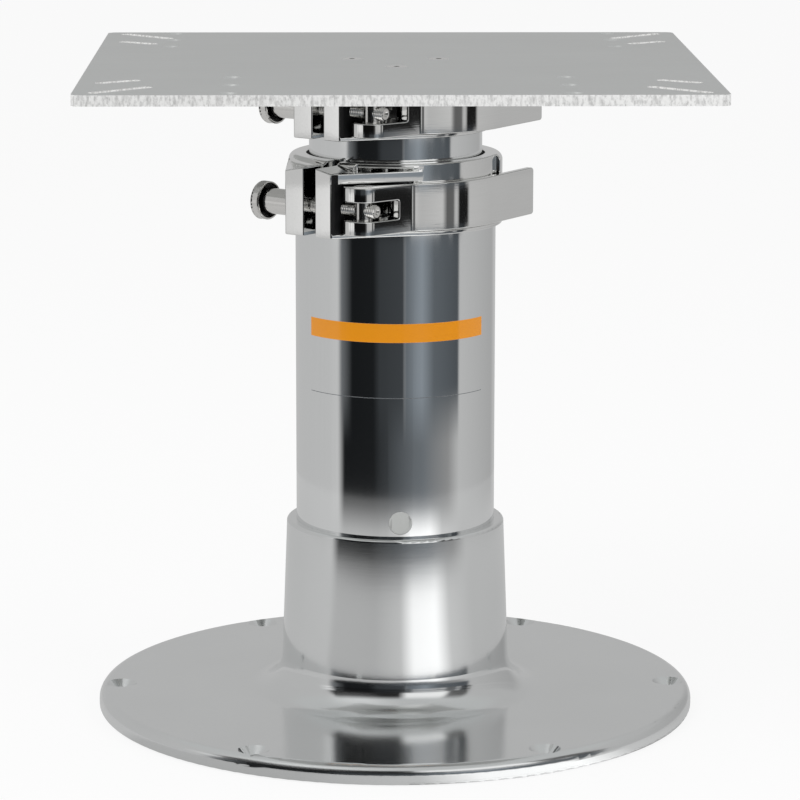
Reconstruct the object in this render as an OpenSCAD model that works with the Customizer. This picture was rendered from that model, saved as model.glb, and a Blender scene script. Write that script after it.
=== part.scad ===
// Telescopic table pedestal: a cast base, three tubes that slide in each other,
// two cam clamps that lock them, and a square plate for the table top.
// Millimetres. The origin is the centre of the base's underside, +Z is up, and
// the clamps' levers lie on the -Y side. The tubes are shown fully lowered.

/* [Overall] */
// Height of the plate's top face with both stages down
table_h = 380; // [365:1:400]
// Travel of each sliding stage
stage_travel = 170; // [120:5:172]

/* [Base casting] */
// Diameter of the base flange
base_d = 350; // [340:1:400]
// Thickness of the flange
base_t = 11; // [10:0.5:14]
// Rounding of the flange's upper rim
rim_top_r = 6; // [4:0.5:6.5]
// Rounding of the flange's lower rim
rim_low_r = 2.2; // [1:0.1:3]
// Height of the neck's lip
neck_h = 112; // [90:1:113]
// Diameter of the neck where it meets its fillet
neck_foot_d = 133.4; // [131:0.2:140]
// Diameter of the neck at its lip
neck_top_d = 127.4; // [125:0.2:131]
// Radius of the fillet between the neck and the flange
neck_fillet_r = 19; // [14:0.5:22]
// Thickness of the socket's floor
socket_floor_t = 6; // [5:0.5:8]
// Depth of the recess in the underside
under_depth = 3; // [1:0.5:3.5]
// Width of each rib across that recess
under_rib_w = 8; // [5:0.5:12]
// Distance of the floor bolts from the flange's edge
bolt_inset = 13; // [12:0.5:20]
// Number of floor bolts
bolt_n = 6; // [4:1:8]
// Diameter of a floor bolt's hole
bolt_d = 9; // [6:0.5:10]
// Diameter of a floor bolt's countersink
bolt_head_d = 18; // [12:0.5:19]

/* [Tubes] */
// Outside diameter of the fixed outer tube
outer_tube_d = 116; // [115:0.5:117]
// Outside diameter of the middle tube
middle_tube_d = 100; // [99:0.5:101]
// Outside diameter of the inner tube
inner_tube_d = 84; // [83:0.5:85]
// Wall of the three tubes
tube_wall = 4; // [3.5:0.1:4.2]
// Distance of the outer tube's top end below the plate's top
outer_tube_drop = 92.5; // [90:0.5:110]
// Distance of the middle tube's top end below the plate's top
middle_tube_drop = 38.4; // [38:0.2:42]
// Height of the inner tube's foot above the floor
inner_foot_z = 64; // [30:1:70]
// Thickness of the solid head in the inner tube
tube_head_t = 24; // [16:1:30]
// Diameter of the round plug in the outer tube
plug_d = 13.5; // [8:0.5:14]
// Height of the plug's centre
plug_z = 120.8; // [120.5:0.1:150]
// Direction of the plug around the tube, in degrees
plug_az = -88; // [-180:1:180]

/* [Guides] */
// Thickness of the lip under a tube's end
guide_lip_t = 2.8; // [2:0.2:4]
// Width of that lip, measured inwards from the guide's outside
guide_lip_w = 7.2; // [6:0.1:7.6]
// Thickness of the rubber buffer on the socket's floor
buffer_t = 4; // [3:0.5:6]
// Radial gap of sliding and turning fits
run_gap = 0.08; // [0.04:0.01:0.1]
// Radial gap of fixed fits
seat_gap = 0.05; // [0.02:0.01:0.1]
// Gap left at a stop
stop_gap = 0.3; // [0.2:0.05:0.5]

/* [Clamp collars] */
// Radial thickness of the collar's ring
ring_wall = 10.2; // [9:0.1:11]
// Thickness of the liner between the collar and its tube
liner_t = 1.4; // [1:0.1:2]
// Height of the lower collar above the outer tube's end
lower_collar_h = 40.5; // [39:0.5:44]
// Drop of the collar's rounded shoulder
shoulder_r = 4; // [2:0.5:5]
// Depth of the spigot inside the tube
spigot_h = 25.5; // [18:0.5:30]
// Width of the slot that splits a collar
slot_w = 8.2; // [6:0.2:9]
// Direction of the slot around the tube, in degrees
clamp_az = 232; // [180:1:270]
// How far the lugs stand out past the ring
lug_reach = 18.8; // [17:0.2:21]
// Distance of the knob's lug corner from the slot's middle
knob_lug_w = 17.3; // [16.5:0.1:19]
// Distance of the knob's seat from the slot's middle
knob_seat = 16; // [14:0.1:16.4]
// Distance of the cam's lug face from the slot's middle
cam_lug_w = 15.5; // [14:0.1:17]
// Rise of the lugs' top towards the slot
lug_crown = 2.5; // [1:0.1:3]
// Height of the ledge under the lever
ledge_t = 2.5; // [2:0.1:4]
// Depth of the lever's recess in the ring
recess_d = 3; // [2:0.1:4]
// Where the recess ends, measured round from the slot, in degrees
recess_end = 114; // [113:0.5:120]

/* [Clamp screw] */
// Diameter of the stud
stud_d = 8; // [6:0.5:8]
// Distance of the stud's axis outside the ring
stud_out = 8.3; // [7.5:0.1:9.5]
// Distance of the stud's free end from the slot's middle
stud_end = 40; // [38:0.5:42]
// Diameter of the barrel nut in the lever
barrel_d = 10; // [9.8:0.1:11]
// Diameter of the knob's shank
shank_d = 14.7; // [13:0.1:16]
// Distance of the knob's head from the slot's middle
knob_in = 37; // [30:0.5:45]
// Diameter of the knob's head
knob_d = 22; // [18:0.5:24]
// Thickness of the knob's head
knob_t = 5.7; // [4:0.1:8]
// Thickness of the washer under the shank
washer_t = 1.6; // [1:0.1:2.5]
// Diameter of the washer
washer_d = 17; // [16.5:0.1:18]

/* [Cam levers] */
// Height of a lever
lever_h = 27.2; // [24:0.2:27.4]
// Thickness of a lever's blade
lever_t = 4.2; // [3:0.1:5]
// Radius of the lever's nose round the barrel nut
nose_r = 9.5; // [8.5:0.1:10]
// Distance from the barrel nut's axis to the flank on the pad
cam_throw = 12.4; // [12:0.1:13.5]
// Thickness of the pad between the lug and the lever
pad_t = 2.4; // [1.5:0.1:3]
// Height of the window for the stud
window_h = 10.5; // [9:0.1:12]
// Reach of the window past the barrel nut's axis
window_reach = 19; // [14:0.5:24]
// Direction in which the blade leaves the ring, from the slot, in degrees
tab_start = 95; // [88:0.5:100]
// Length of the straight tab
tab_l = 50; // [30:1:60]
// Radius of the tab's corners
tab_corner_r = 2; // [1:0.5:6]

/* [Table plate] */
// Side of the square plate
plate_side = 350; // [340:1:400]
// Thickness of the plate
plate_t = 6; // [5:0.5:8]
// Radius of the plate's corners
plate_corner_r = 5; // [2:0.5:10]
// Radius of the circle of the three screws into the tube's head
centre_screw_r = 29; // [20:0.5:30]
// Diameter of those screws
centre_screw_d = 6; // [5:0.5:6]
// Head diameter of those screws
centre_head_d = 12; // [10:0.5:12]
// Length of those screws
centre_screw_l = 20; // [14:1:24]
// Distance of the front hole rows from the middle
front_row_x = 92; // [80:1:110]
// Distance of the back hole rows from the middle
back_row_x = 133; // [125:1:140]
// Distance of the middle hole of each row from the middle
row_y = 126; // [120:1:128]
// Pitch of the holes in a row
row_pitch = 40; // [30:1:41]
// Diameter of a row's holes
row_hole_d = 6.5; // [5:0.1:7]
// Countersink of a row's holes
row_head_d = 11; // [9:0.5:12]
// Width of the corner slots
corner_slot_w = 7; // [5:0.5:9]
// Direction of the shorter corner slot, in degrees
short_slot_az = 35.3; // [33:0.1:37]
// Radius at which the shorter slot starts
short_slot_r = 174; // [165:1:178]
// Length of the shorter slot
short_slot_l = 28; // [15:1:30]
// Radius at which the diagonal slot starts
long_slot_r = 190; // [185:1:200]
// Length of the diagonal slot
long_slot_l = 44; // [20:1:44]

/* [Hidden] */
$fn = 72;
// Overshoot of a cut past the face that it opens
eps = 1;
// How far a straight face cuts into the round that it leaves
lap = 0.3;

// Base
base_r = base_d / 2;
neck_foot_r = neck_foot_d / 2;
neck_top_r = neck_top_d / 2;
socket_r = outer_tube_d / 2 + seat_gap;
lip_r = min(2, (neck_top_r - socket_r) / 2);
bolt_r = base_r - bolt_inset;
// Lands of the underside: one under the neck and one under the bolts
inner_land_r = neck_foot_r + 4;
outer_land_r = bolt_r - bolt_head_d / 2 - 4;

// Tubes, each inside the one before it
outer_tube_top = table_h - outer_tube_drop;
middle_tube_top = table_h - middle_tube_drop;
outer_bore_r = outer_tube_d / 2 - tube_wall;
middle_bore_r = middle_tube_d / 2 - tube_wall;
inner_bore_r = inner_tube_d / 2 - tube_wall;
plate_z = table_h - plate_t;
buffer_z = socket_floor_t + buffer_t;
middle_foot_z = buffer_z + stop_gap;

// Collars
lower_bore_r = middle_tube_d / 2 + run_gap + liner_t + seat_gap;
upper_bore_r = inner_tube_d / 2 + run_gap + liner_t + seat_gap;
upper_collar_h = plate_z - stop_gap - middle_tube_top;
lever_gap = 0.6;

// Plate
row_steps = [-1, 0, 1];
centre_screw_azimuths = [-90, 30, 150];

// A ring of revolution between two radii and two heights
module ring(r_in, r_out, z0, z1) {
    translate([0, 0, z0]) difference() {
        cylinder(r = r_out, h = z1 - z0);
        translate([0, 0, -eps]) cylinder(r = r_in, h = z1 - z0 + 2 * eps);
    }
}

// A wedge of the plane between two directions, as a polygon that reaches past r
module wedge(r, from, to) {
    mid = (from + to) / 2;
    reach = 1.5 * r / cos((to - from) / 2);
    polygon([[0, 0], 1.5 * r * [cos(from), sin(from)], reach * [cos(mid), sin(mid)], 1.5 * r * [cos(to), sin(to)]]);
}

// A countersunk hole, from its head's face downwards
module countersunk(d, head_d, depth) {
    sink = (head_d - d) / 2;
    translate([0, 0, -depth - eps]) cylinder(d = d, h = depth + 2 * eps);
    translate([0, 0, -sink]) cylinder(d1 = d, d2 = head_d, h = sink);
    cylinder(d = head_d, h = eps);
}

// Half section of the casting, without its socket
module base_section() {
    square([base_r - rim_top_r, base_t]);
    translate([0, rim_low_r]) square([base_r, base_t - rim_top_r - rim_low_r]);
    square([base_r - rim_low_r, base_t - rim_top_r]);
    intersection() {
        translate([base_r - rim_top_r, base_t - rim_top_r]) circle(r = rim_top_r);
        translate([0, base_t - rim_top_r]) square([base_r, rim_top_r]);
    }
    translate([base_r - rim_low_r, rim_low_r]) circle(r = rim_low_r);
    fillet_z = base_t + neck_fillet_r;
    difference() {
        translate([neck_foot_r - eps, base_t - eps]) square([neck_fillet_r + eps, neck_fillet_r + eps]);
        translate([neck_foot_r + neck_fillet_r, fillet_z]) circle(r = neck_fillet_r);
    }
    polygon([[0, 0], [neck_foot_r, 0], [neck_foot_r, fillet_z], [neck_top_r, neck_h - lip_r], [0, neck_h - lip_r]]);
    square([neck_top_r - lip_r, neck_h]);
    translate([neck_top_r - lip_r, neck_h - lip_r]) circle(r = lip_r);
}

module base_flange() {
    color("silver") difference() {
        rotate_extrude() base_section();
        translate([0, 0, socket_floor_t]) cylinder(r = socket_r, h = neck_h);
        for (i = [0 : bolt_n - 1])
            rotate([0, 0, i * 360 / bolt_n]) translate([bolt_r, 0, base_t])
                countersunk(bolt_d, bolt_head_d, base_t);
        difference() {
            ring(inner_land_r, outer_land_r, -eps, under_depth);
            for (i = [0 : bolt_n - 1])
                rotate([0, 0, i * 360 / bolt_n]) translate([0, -under_rib_w / 2, -2 * eps])
                    cube([base_r, under_rib_w, under_depth + 3 * eps]);
        }
    }
}

module outer_tube() {
    color("gainsboro") difference() {
        ring(outer_bore_r, outer_tube_d / 2, socket_floor_t, outer_tube_top);
        translate([0, 0, plug_z]) rotate([0, 90, plug_az]) cylinder(d = plug_d, h = outer_tube_d);
    }
}

// The plug follows the tube's wall, a little proud outside and short inside
module tube_plug() {
    proud = 0.3;
    color("darkgray") intersection() {
        translate([0, 0, plug_z]) rotate([0, 90, plug_az]) cylinder(r = plug_d / 2 - seat_gap, h = outer_tube_d);
        ring(outer_bore_r + seat_gap, outer_tube_d / 2 + proud, plug_z - plug_d, plug_z + plug_d);
    }
}

module buffer_ring() {
    color("dimgray") ring(outer_bore_r - guide_lip_w, outer_bore_r - eps, socket_floor_t, buffer_z);
}

// Outline of the two lugs seen from above, with the slot along +X. Their outer
// faces run onto the ring, just short of its tangents.
module lug_outline(ring_r) {
    knob_corner = [ring_r + lug_reach, -knob_lug_w];
    cam_corner = [ring_r + lug_reach, cam_lug_w];
    polygon([knob_corner, cam_corner, tangent_point(cam_corner, ring_r - lap, 1), [0, 0],
             tangent_point(knob_corner, ring_r - lap, -1)]);
}

// Where a line from a corner touches a circle, on its left (1) or right (-1)
function tangent_point(corner, r, side) =
    let (direction = atan2(corner[1], corner[0]) + side * acos(r / norm(corner)))
    r * [cos(direction), sin(direction)];

// A collar without its openings: the ring has a round shoulder, the lugs a crown
module collar_body(ring_r, height) {
    edge_z = height - shoulder_r;
    rotate_extrude() {
        square([ring_r - shoulder_r, height]);
        square([ring_r, edge_z]);
        translate([ring_r - shoulder_r, edge_z]) circle(r = shoulder_r);
    }
    intersection() {
        linear_extrude(height = height) lug_outline(ring_r);
        rotate([90, 0, 90]) linear_extrude(height = 2 * ring_r)
            polygon([[-ring_r, 0], [ring_r, 0], [ring_r, edge_z], [cam_lug_w, edge_z],
                     [slot_w / 2, edge_z + lug_crown], [-slot_w / 2, edge_z + lug_crown],
                     [-knob_lug_w, edge_z], [-ring_r, edge_z]]);
    }
}

// A split collar with its bore on the axis and its slot along +X
module split_collar(bore_r, tube_bore_r, height) {
    ring_r = bore_r + ring_wall;
    stud_x = ring_r + stud_out;
    screw_z = ledge_t + stop_gap + lever_h / 2;
    difference() {
        union() {
            collar_body(ring_r, height);
            intersection() {
                translate([0, 0, -spigot_h]) cylinder(r = tube_bore_r - seat_gap, h = spigot_h + eps);
                translate([-2 * ring_r, -ring_r, -spigot_h - eps]) cube([2 * ring_r, 2 * ring_r, spigot_h + 3 * eps]);
            }
        }
        translate([0, 0, -spigot_h - eps]) cylinder(r = bore_r, h = spigot_h + height + 2 * eps);
        translate([0, -slot_w / 2, -eps]) cube([2 * ring_r, slot_w, height + 2 * eps]);
        // Room for the lever above the ledge
        translate([0, 0, ledge_t]) linear_extrude(height = height) difference() {
            intersection() {
                wedge(2 * ring_r, 0, recess_end);
                translate([-2 * ring_r, cam_lug_w]) square(4 * ring_r);
            }
            circle(r = ring_r - recess_d);
        }
        // Hole for the stud, and the knob's seat in the other lug
        translate([stud_x, 0, screw_z]) rotate([90, 0, 0])
            cylinder(r = stud_d / 2 + stop_gap, h = 4 * knob_lug_w, center = true);
        translate([stud_x, -knob_seat, screw_z]) rotate([90, 0, 0])
            cylinder(r = washer_d / 2 + 2 * stop_gap, h = 2 * knob_in);
    }
}

// Puts a clamp's parts at its tube: the slot looks along clamp_az
module at_clamp(z) {
    translate([0, 0, z]) rotate([0, 0, clamp_az]) children();
}

// Along the stud: +Z of the children runs from the knob to the lever
module on_stud(ring_r) {
    translate([ring_r + stud_out, 0, ledge_t + stop_gap + lever_h / 2]) rotate([-90, 0, 0]) children();
}

module clamp_liner(bore_r, tube_r, height) {
    difference() {
        ring(tube_r + run_gap, bore_r - seat_gap, -spigot_h, height - eps);
        translate([0, -slot_w / 2, -spigot_h - eps]) cube([2 * bore_r, slot_w, spigot_h + height + eps]);
        // Below the collar only the half behind the spigot is lined
        translate([0, -bore_r, -spigot_h - eps]) cube([2 * bore_r, 2 * bore_r, spigot_h + eps]);
    }
}

module cam_pad(ring_r, height) {
    pad_w = lug_reach + 1.4;
    pad_h = height - shoulder_r - ledge_t - stop_gap;
    difference() {
        translate([ring_r + lug_reach - pad_w, cam_lug_w, ledge_t]) cube([pad_w, pad_t, pad_h]);
        on_stud(ring_r) cylinder(r = stud_d / 2 + stop_gap, h = 2 * cam_lug_w + pad_t);
    }
}

module barrel_nut(ring_r) {
    difference() {
        translate([ring_r + stud_out, barrel_y(), ledge_t + stop_gap]) cylinder(d = barrel_d, h = lever_h);
        on_stud(ring_r) cylinder(r = stud_d / 2 + seat_gap, h = stud_end + eps);
    }
}

function barrel_y() = cam_lug_w + pad_t + stop_gap + cam_throw;

module stud_washer(ring_r) {
    on_stud(ring_r) ring(stud_d / 2 + seat_gap, washer_d / 2, -knob_seat - washer_t, -knob_seat);
}

// The stud has a round point at the lever's end and sits in the knob at the other
module stud(ring_r) {
    point = 0.8;
    socket = knob_in + knob_t / 2;
    on_stud(ring_r) {
        translate([0, 0, -socket]) cylinder(d = stud_d, h = socket + stud_end - point);
        translate([0, 0, stud_end - point]) cylinder(d1 = stud_d, d2 = stud_d - 2 * point, h = point);
    }
}

module screw_knob(ring_r) {
    edge = 0.6;
    shank_end = knob_seat + washer_t;
    on_stud(ring_r) difference() {
        rotate_extrude() {
            translate([0, -knob_in]) square([shank_d / 2, knob_in - shank_end]);
            polygon([[0, -knob_in - knob_t], [knob_d / 2 - edge, -knob_in - knob_t],
                     [knob_d / 2, edge - knob_in - knob_t], [knob_d / 2, -edge - knob_in],
                     [knob_d / 2 - edge, -knob_in], [0, -knob_in]]);
        }
        translate([0, 0, -knob_in - knob_t / 2]) cylinder(r = stud_d / 2 + seat_gap, h = knob_in);
    }
}

// Outline of a lever seen from above, in the lower clamp's frame. It wraps the
// ring from its nose at the barrel nut to the straight tab.
module lever_outline(ring_r) {
    recess_r = ring_r - recess_d;
    inside_r = recess_r + lever_gap;
    outside_r = inside_r + lever_t;
    nose = [ring_r + stud_out, barrel_y()];
    lobe_y = nose[1] - cam_throw + nose_r;
    flank_y = nose[1] - cam_throw + lap / 2;
    leave = nose_direction(nose, outside_r);
    // The head's back corner stays clear of the ring as the lever opens
    corner_r = norm(nose) - recess_r - stop_gap;
    flank_x = nose[0] - sqrt(pow(corner_r, 2) - pow(nose[1] - flank_y, 2));
    difference() {
        union() {
            translate(nose) circle(r = nose_r);
            translate([nose[0], lobe_y]) circle(r = nose_r);
            polygon([[flank_x, flank_y], [nose[0], flank_y], nose, nose + (nose_r - lap / 2) * leave,
                     (outside_r - lap / 2) * leave, [0, 0], (inside_r - eps) * nose / norm(nose)]);
            intersection() {
                circle(r = outside_r);
                wedge(ring_r, atan2(leave[1], leave[0]) - 8, tab_start + 4.5);
            }
            rotate([0, 0, tab_start]) translate([inside_r - lap, 0]) square([lever_t + 2 * lap / 3, tab_l]);
        }
        circle(r = inside_r);
    }
}

// Direction in which the line along the nose and the blade touches both
function nose_direction(nose, blade_r) =
    let (direction = atan2(nose[1], nose[0]) + acos((blade_r - nose_r) / norm(nose)))
    [cos(direction), sin(direction)];

// What rounds a corner of the tab: a square with a quarter taken out
module corner_cut() {
    difference() {
        translate([0, -lever_t, 0]) cube([tab_corner_r + eps, 3 * lever_t, tab_corner_r + eps]);
        rotate([-90, 0, 0]) translate([0, 0, -2 * lever_t]) cylinder(r = tab_corner_r, h = 5 * lever_t);
    }
}

module lever(ring_r) {
    inside_r = ring_r - recess_d + lever_gap;
    nose = [ring_r + stud_out, barrel_y()];
    leave = nose_direction(nose, inside_r + lever_t);
    window_az = atan2(leave[1], leave[0]);
    translate([0, 0, ledge_t + stop_gap]) difference() {
        linear_extrude(height = lever_h) lever_outline(ring_r);
        translate([nose[0], nose[1], -eps]) cylinder(r = barrel_d / 2 + seat_gap, h = lever_h + 2 * eps);
        // Window through which the stud swings, open at the nose
        translate([nose[0], nose[1], (lever_h - window_h) / 2]) rotate([0, 0, window_az + 90])
            translate([-2 * nose_r, -2 * ring_r, 0]) cube([2 * nose_r + window_reach, 4 * ring_r, window_h]);
        for (flip = [0, 1])
            translate([0, 0, lever_h / 2]) mirror([0, 0, flip]) rotate([0, 0, tab_start])
                translate([inside_r, tab_l - tab_corner_r, lever_h / 2 - tab_corner_r]) rotate([0, 0, 90]) corner_cut();
    }
}

// Sizes of the two rings
lower_ring_r = lower_bore_r + ring_wall;
upper_ring_r = upper_bore_r + ring_wall;

module lower_collar() {
    color("lightgray") at_clamp(outer_tube_top) split_collar(lower_bore_r, outer_bore_r, lower_collar_h);
}

module lower_liner() {
    color("black") at_clamp(outer_tube_top) clamp_liner(lower_bore_r, middle_tube_d / 2, lower_collar_h);
}

module lower_cam_pad() {
    color("black") at_clamp(outer_tube_top) cam_pad(lower_ring_r, lower_collar_h);
}

module lower_barrel_nut() {
    color("silver") at_clamp(outer_tube_top) barrel_nut(lower_ring_r);
}

module lower_washer() {
    color("silver") at_clamp(outer_tube_top) stud_washer(lower_ring_r);
}

module lower_stud() {
    color("darkgray") at_clamp(outer_tube_top) stud(lower_ring_r);
}

module lower_knob() {
    color("gray") at_clamp(outer_tube_top) screw_knob(lower_ring_r);
}

module lower_lever() {
    color("gainsboro") at_clamp(outer_tube_top) lever(lower_ring_r);
}

// The same lever, moved in with the smaller ring
module upper_lever() {
    color("gainsboro") at_clamp(middle_tube_top) translate([upper_ring_r - lower_ring_r, 0, 0]) lever(lower_ring_r);
}

module upper_collar() {
    color("lightgray") at_clamp(middle_tube_top) split_collar(upper_bore_r, middle_bore_r, upper_collar_h);
}

module upper_liner() {
    color("black") at_clamp(middle_tube_top) clamp_liner(upper_bore_r, inner_tube_d / 2, upper_collar_h);
}

module upper_cam_pad() {
    color("black") at_clamp(middle_tube_top) cam_pad(upper_ring_r, upper_collar_h);
}

module upper_barrel_nut() {
    color("silver") at_clamp(middle_tube_top) barrel_nut(upper_ring_r);
}

module upper_washer() {
    color("silver") at_clamp(middle_tube_top) stud_washer(upper_ring_r);
}

module upper_stud() {
    color("darkgray") at_clamp(middle_tube_top) stud(upper_ring_r);
}

module upper_knob() {
    color("gray") at_clamp(middle_tube_top) screw_knob(upper_ring_r);
}

// A guide sleeve whose lip carries the end of the tube inside it. It stops
// against the spigot of the collar above when its stage is fully out.
module guide_sleeve(outside_r, tube_r, foot_z, collar_z) {
    top_z = collar_z - spigot_h - stage_travel - stop_gap;
    ring(tube_r + run_gap, outside_r - run_gap, foot_z + guide_lip_t - eps / 2, top_z);
    ring(outside_r - guide_lip_w, outside_r - run_gap, foot_z, foot_z + guide_lip_t);
}

module middle_guide() {
    color("whitesmoke") guide_sleeve(outer_bore_r, middle_tube_d / 2, middle_foot_z, outer_tube_top);
}

module middle_tube() {
    color("gainsboro") ring(middle_bore_r, middle_tube_d / 2, middle_foot_z + guide_lip_t, middle_tube_top);
}

module inner_guide() {
    color("whitesmoke") guide_sleeve(middle_bore_r, inner_tube_d / 2, inner_foot_z, middle_tube_top);
}

module inner_tube() {
    color("gainsboro") ring(inner_bore_r, inner_tube_d / 2, inner_foot_z + guide_lip_t, plate_z);
}

module at_centre_screws(z) {
    for (az = centre_screw_azimuths)
        rotate([0, 0, az]) translate([centre_screw_r, 0, z]) children();
}

module tube_head() {
    color("silver") difference() {
        translate([0, 0, plate_z - tube_head_t]) cylinder(r = inner_bore_r - seat_gap, h = tube_head_t);
        at_centre_screws(plate_z - tube_head_t - eps)
            cylinder(r = centre_screw_d / 2 + seat_gap, h = tube_head_t + 2 * eps);
    }
}

// A slot along a ray from the plate's middle
module ray_slot(start, length, direction) {
    ends = [start + corner_slot_w / 2, start + length - corner_slot_w / 2];
    rotate([0, 0, direction]) {
        for (x = ends)
            translate([x, 0]) circle(d = corner_slot_w);
        translate([ends[0], -corner_slot_w / 2]) square([ends[1] - ends[0], corner_slot_w]);
    }
}

module plate_outline() {
    half = plate_side / 2 - plate_corner_r;
    square([plate_side, 2 * half], center = true);
    square([2 * half, plate_side], center = true);
    for (x = [-half, half], y = [-half, half])
        translate([x, y]) circle(r = plate_corner_r);
}

module top_plate() {
    color("silver") difference() {
        translate([0, 0, plate_z]) linear_extrude(height = plate_t) difference() {
            plate_outline();
            for (mx = [0, 1], my = [0, 1]) mirror([mx, 0]) mirror([0, my]) {
                ray_slot(short_slot_r, short_slot_l, short_slot_az);
                ray_slot(long_slot_r, long_slot_l, 45);
            }
        }
        at_centre_screws(table_h) countersunk(centre_screw_d + 2 * seat_gap, centre_head_d + 2 * seat_gap, plate_t);
        for (side = [-1, 1], i = row_steps) {
            translate([side * front_row_x, i * row_pitch - row_y, table_h])
                countersunk(row_hole_d, row_head_d, plate_t);
            translate([side * back_row_x, i * row_pitch + row_y, table_h])
                countersunk(row_hole_d, row_head_d, plate_t);
        }
    }
}

module plate_screws() {
    sink = (centre_head_d - centre_screw_d) / 2;
    socket_d = centre_screw_d * 0.6;
    socket_depth = centre_screw_d * 0.45;
    color("darkgray") at_centre_screws(table_h) difference() {
        union() {
            translate([0, 0, -centre_screw_l]) cylinder(d = centre_screw_d, h = centre_screw_l - sink);
            translate([0, 0, -sink]) cylinder(d1 = centre_screw_d, d2 = centre_head_d, h = sink);
        }
        translate([0, 0, -socket_depth]) cylinder(d = socket_d, h = socket_depth + eps, $fn = 6);
    }
}

base_flange();
outer_tube();
tube_plug();
buffer_ring();
lower_collar();
lower_liner();
lower_cam_pad();
lower_barrel_nut();
lower_washer();
lower_stud();
lower_knob();
lower_lever();
middle_guide();
middle_tube();
upper_collar();
upper_liner();
upper_cam_pad();
upper_barrel_nut();
upper_washer();
upper_stud();
upper_knob();
upper_lever();
inner_guide();
inner_tube();
tube_head();
top_plate();
plate_screws();
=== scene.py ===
"""Telescopic table pedestal: the dressed model, its studio and its camera.

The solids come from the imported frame. This script gives every part its finish and
models the pieces whose edges, knurls and threads the plain solids leave out.
"""

import logging
import math
from collections.abc import Callable
from dataclasses import dataclass, field
from enum import Enum

import bmesh
import bpy
from mathutils import Euler, Matrix, Vector

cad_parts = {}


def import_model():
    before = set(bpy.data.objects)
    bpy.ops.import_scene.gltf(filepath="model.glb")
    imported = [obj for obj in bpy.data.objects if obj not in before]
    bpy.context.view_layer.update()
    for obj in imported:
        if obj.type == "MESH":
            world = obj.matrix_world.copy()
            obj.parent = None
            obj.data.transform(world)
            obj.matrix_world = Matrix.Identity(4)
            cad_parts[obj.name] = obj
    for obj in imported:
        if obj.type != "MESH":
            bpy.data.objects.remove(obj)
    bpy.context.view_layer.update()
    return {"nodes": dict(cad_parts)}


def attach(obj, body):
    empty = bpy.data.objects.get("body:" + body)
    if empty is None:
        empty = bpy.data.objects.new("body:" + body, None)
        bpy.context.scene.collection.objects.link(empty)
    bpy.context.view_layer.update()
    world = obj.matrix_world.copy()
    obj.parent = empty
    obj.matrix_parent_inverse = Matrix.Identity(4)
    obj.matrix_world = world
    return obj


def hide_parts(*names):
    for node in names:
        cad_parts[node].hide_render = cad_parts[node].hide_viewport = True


LOG = logging.getLogger("pedestal")
MM = 0.001
Colour = tuple[float, float, float]
Cells = tuple[float, float, float]
MeshPart = bmesh.types.BMVert | bmesh.types.BMEdge | bmesh.types.BMFace


class Pick(Enum):
    """What a selection in edit mode is made of."""

    VERTS = "VERT"
    EDGES = "EDGE"
    FACES = "FACE"


class Grain(Enum):
    """How a metal's fine marks run, as their cells per metre along X, Y and Z."""

    UPRIGHT = (900.0, 900.0, 14.0)
    ROUND = (60.0, 60.0, 2600.0)
    EVEN = (700.0, 700.0, 700.0)


def shade(colour: Colour, share: float) -> Colour:
    """A colour at a share of its brightness."""
    return tuple(part * share for part in colour)


def on_circle(radius: float, turn: float) -> Vector:
    """Point of a circle round the origin, at an angle in radians."""
    return radius * Vector((math.cos(turn), math.sin(turn)))


class Term:
    """A shader socket that takes part in arithmetic."""

    def __init__(self, paint: "Paint", socket: bpy.types.NodeSocket) -> None:
        """Wrap one socket.

        Args:
            paint: The material's node tree that the socket belongs to.
            socket: The socket that carries the value.
        """
        self.paint = paint
        self.socket = socket

    def join(self, operation: str, *others: "Term | float") -> "Term":
        """Add one Math node.

        Args:
            operation: The Math node's operation.
            others: The values or terms that go into its next sockets.

        Returns:
            The node's result.
        """
        inputs = {0: self} | {i + 1: other for i, other in enumerate(others)}
        return self.paint.add("ShaderNodeMath", {"operation": operation}, inputs)

    def __add__(self, other: "Term | float") -> "Term":
        """Sum of two terms."""
        return self.join("ADD", other)

    def __radd__(self, other: float) -> "Term":
        """Sum with a number on the left."""
        return self.join("ADD", other)

    def __sub__(self, other: "Term | float") -> "Term":
        """Difference of two terms."""
        return self.join("SUBTRACT", other)

    def __rsub__(self, other: float) -> "Term":
        """Difference from a number on the left."""
        return (self * -1.0).join("ADD", other)

    def __mul__(self, other: "Term | float") -> "Term":
        """Product of two terms."""
        return self.join("MULTIPLY", other)

    def __rmul__(self, other: float) -> "Term":
        """Product with a number on the left."""
        return self.join("MULTIPLY", other)

    def __truediv__(self, other: "Term | float") -> "Term":
        """Quotient of two terms."""
        return self.join("DIVIDE", other)

    def over(self, edge: float, soft: float) -> "Term":
        """Mask that rises from 0 to 1 round an edge.

        Args:
            edge: Value at which the mask is one half.
            soft: Width of the rise.

        Returns:
            The mask.
        """
        inputs = {0: self, 1: edge - soft / 2, 2: edge + soft / 2, 3: 0.0, 4: 1.0}
        return self.paint.add("ShaderNodeMapRange", {"clamp": True}, inputs)

    def within(self, low: float, high: float, soft: float) -> "Term":
        """Mask of the values between two edges."""
        return self.over(low, soft) * (1 - self.over(high, soft))


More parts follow.
